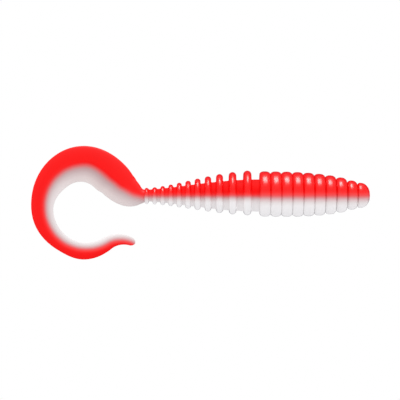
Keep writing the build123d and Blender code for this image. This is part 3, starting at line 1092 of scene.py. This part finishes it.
@dataclass
class Studio:
    """A white studio: a pale floor well below the worm, soft light all round and one softbox."""

    middle: tuple[float, float, float] = (-37.6, 0.0, -1.2)  # of the view, in millimetres
    view_width: float = 88.5
    distance: float = 500.0
    sensor: float = 36.0
    floor_drop: float = 95.0
    floor_radius: float = 420.0
    floor_solid: float = 0.45  # share of the radius before it starts to fade
    floor_corners: int = 96
    floor_colour: str = "#DADADC"
    sky_power: float = 1.2
    # (part of the direction along Z, sRGB) and (along Y, which points away from the camera)
    sky_stops: tuple[tuple[float, str], ...] = ((-1.0, "#F0EEEF"), (0.0, "#F3F1F2"), (1.0, "#FFFFFF"))
    mirrored_stops: tuple[tuple[float, str], ...] = (
        (-1.0, "#E4E4E5"), (0.1, "#D0D0D3"), (0.6, "#463C50"), (1.0, "#382C46"),
    )
    softbox_height: float = 78.0  # degrees above the horizon
    softbox_side: float = 12.0  # degrees towards the nose
    softbox_distance: float = 450.0
    softbox_size: tuple[float, float] = (200.0, 250.0)
    softbox_power: float = 3.9

    def build(self) -> None:
        """Makes the camera, the floor, the softbox and the white surroundings."""
        self.add_camera()
        self.add_floor()
        self.add_softbox()
        self.add_world()
        bpy.context.scene.view_settings.view_transform = "Standard"

    def add_camera(self) -> None:
        """A long lens, level with the worm, that looks along +Y at its side."""
        data = bpy.data.cameras.new("camera")
        data.sensor_width = self.sensor
        data.lens = self.sensor * self.distance / self.view_width
        data.clip_start, data.clip_end = 10 * MM, 100.0
        camera = bpy.data.objects.new("camera", data)
        camera.location = Vector(self.middle) * MM + Vector((0, -self.distance * MM, 0))
        camera.rotation_euler = (math.pi / 2, 0, 0)
        bpy.context.scene.collection.objects.link(camera)
        bpy.context.scene.camera = camera

    def add_floor(self) -> None:
        """A round pale floor that fades out at its rim."""
        radius, drop = self.floor_radius * MM, self.floor_drop * MM
        mesh = bpy.data.meshes.new("floor")
        rim = [(radius * math.cos(a), radius * math.sin(a), -drop)
               for a in np.linspace(0, 2 * math.pi, self.floor_corners, endpoint=False)]
        mesh.from_pydata([(x + self.middle[0] * MM, y, z) for x, y, z in rim], [],
                         [list(range(self.floor_corners))])
        floor = bpy.data.objects.new("floor", mesh)
        bpy.context.scene.collection.objects.link(floor)
        material = bpy.data.materials.new("white_paper_floor_matt")
        material.use_nodes = True
        tree = material.node_tree
        tree.nodes.clear()
        place = add_node(tree, "ShaderNodeTexCoord", {}, {}).outputs["Object"]
        flat = add_node(tree, "ShaderNodeMapping", {},
                        {"Vector": place, "Location": (-self.middle[0] * MM, 0, drop)})
        away = add_node(tree, "ShaderNodeVectorMath", {"operation": "LENGTH"}, {0: flat.outputs[0]})
        fade = add_node(tree, "ShaderNodeMapRange", {"interpolation_type": "SMOOTHSTEP"},
                        {"Value": away.outputs["Value"], "From Min": self.floor_solid * radius,
                         "From Max": radius})
        paper = add_node(tree, "ShaderNodeBsdfDiffuse", {}, {"Color": linear(self.floor_colour)})
        clear = add_node(tree, "ShaderNodeBsdfTransparent", {}, {})
        mixed = add_node(tree, "ShaderNodeMixShader", {},
                         {0: fade.outputs[0], 1: paper.outputs[0], 2: clear.outputs[0]})
        add_node(tree, "ShaderNodeOutputMaterial", {}, {"Surface": mixed.outputs[0]})
        mesh.materials.append(material)

    def add_softbox(self) -> None:
        """The one light that shows as a highlight on each ring."""
        data = bpy.data.lights.new("softbox", "AREA")
        data.shape = "RECTANGLE"
        data.size, data.size_y = (side * MM for side in self.softbox_size)
        data.energy = self.softbox_power
        up, side = math.radians(self.softbox_height), math.radians(self.softbox_side)
        way = Vector((math.sin(side) * math.cos(up), -math.cos(side) * math.cos(up), math.sin(up)))
        light = bpy.data.objects.new("softbox", data)
        light.visible_diffuse = False
        light.location = Vector(self.middle) * MM + way * self.softbox_distance * MM
        light.rotation_mode = "QUATERNION"
        light.rotation_quaternion = way.to_track_quat("Z", "Y")
        bpy.context.scene.collection.objects.link(light)

    def add_world(self) -> None:
        """White surroundings that light more from above, and show as plain white.

        What the skin mirrors is bright in front and dark violet on the far side, which draws the
        worm's edges against the white. The camera and the diffuse light don't see that part.
        """
        world = bpy.data.worlds.new("white_surroundings")
        world.use_nodes = True
        tree = world.node_tree
        tree.nodes.clear()
        way = add_node(tree, "ShaderNodeTexCoord", {}, {}).outputs["Generated"]
        direction = add_node(tree, "ShaderNodeSeparateXYZ", {}, {0: way}).outputs
        sky = self.add_sky(tree, direction["Z"], self.sky_stops, self.sky_power)
        mirrored = self.add_sky(tree, direction["Y"], self.mirrored_stops, 1.0)
        white = add_node(tree, "ShaderNodeBackground", {}, {"Color": linear("#FFFFFF"), "Strength": 1.0})
        path = add_node(tree, "ShaderNodeLightPath", {}, {}).outputs
        lit = add_node(tree, "ShaderNodeMixShader", {},
                       {0: path["Is Glossy Ray"], 1: sky.outputs[0], 2: mirrored.outputs[0]})
        mixed = add_node(tree, "ShaderNodeMixShader", {},
                         {0: path["Is Camera Ray"], 1: lit.outputs[0], 2: white.outputs[0]})
        add_node(tree, "ShaderNodeOutputWorld", {}, {"Surface": mixed.outputs[0]})
        bpy.context.scene.world = world

    def add_sky(self, tree: bpy.types.NodeTree, along: bpy.types.NodeSocket,
                stops: tuple[tuple[float, str], ...], power: float) -> bpy.types.Node:
        """A background that changes along one axis.

        Args:
            tree: The world's node tree.
            along: The direction's part along that axis, from -1 to 1.
            stops: (part, sRGB hex) pairs.
            power: The background's strength.

        Returns:
            The background's node.
        """
        share = add_node(tree, "ShaderNodeMapRange", {}, {"Value": along, "From Min": -1.0, "From Max": 1.0})
        ramp = add_node(tree, "ShaderNodeValToRGB", {}, {"Fac": share.outputs[0]})
        fill_ramp(ramp.color_ramp, stops, 1.0)
        return add_node(tree, "ShaderNodeBackground", {}, {"Color": ramp.outputs[0], "Strength": power})


def main() -> None:
    """Builds the worm and its studio."""
    logging.basicConfig(level=logging.INFO, format="%(name)s %(message)s")
    Studio().build()
    glossy = {pour: finish.material() for pour, finish in RING_FINISHES.items()}
    matt = {pour: finish.material() for pour, finish in CORE_FINISHES.items()}
    satin = {pour: finish.material() for pour, finish in BLADE_FINISHES.items()}
    body = Body(RingTree(), glossy, matt)
    body.build_front()
    body.build_discs()
    body.build_core()
    name, front_face, rear_face, *_ = body.discs[-1]
    Blade(satin).build(name, body.neck - (front_face + rear_face) / 2)


if __name__ == "__main__":
    main()
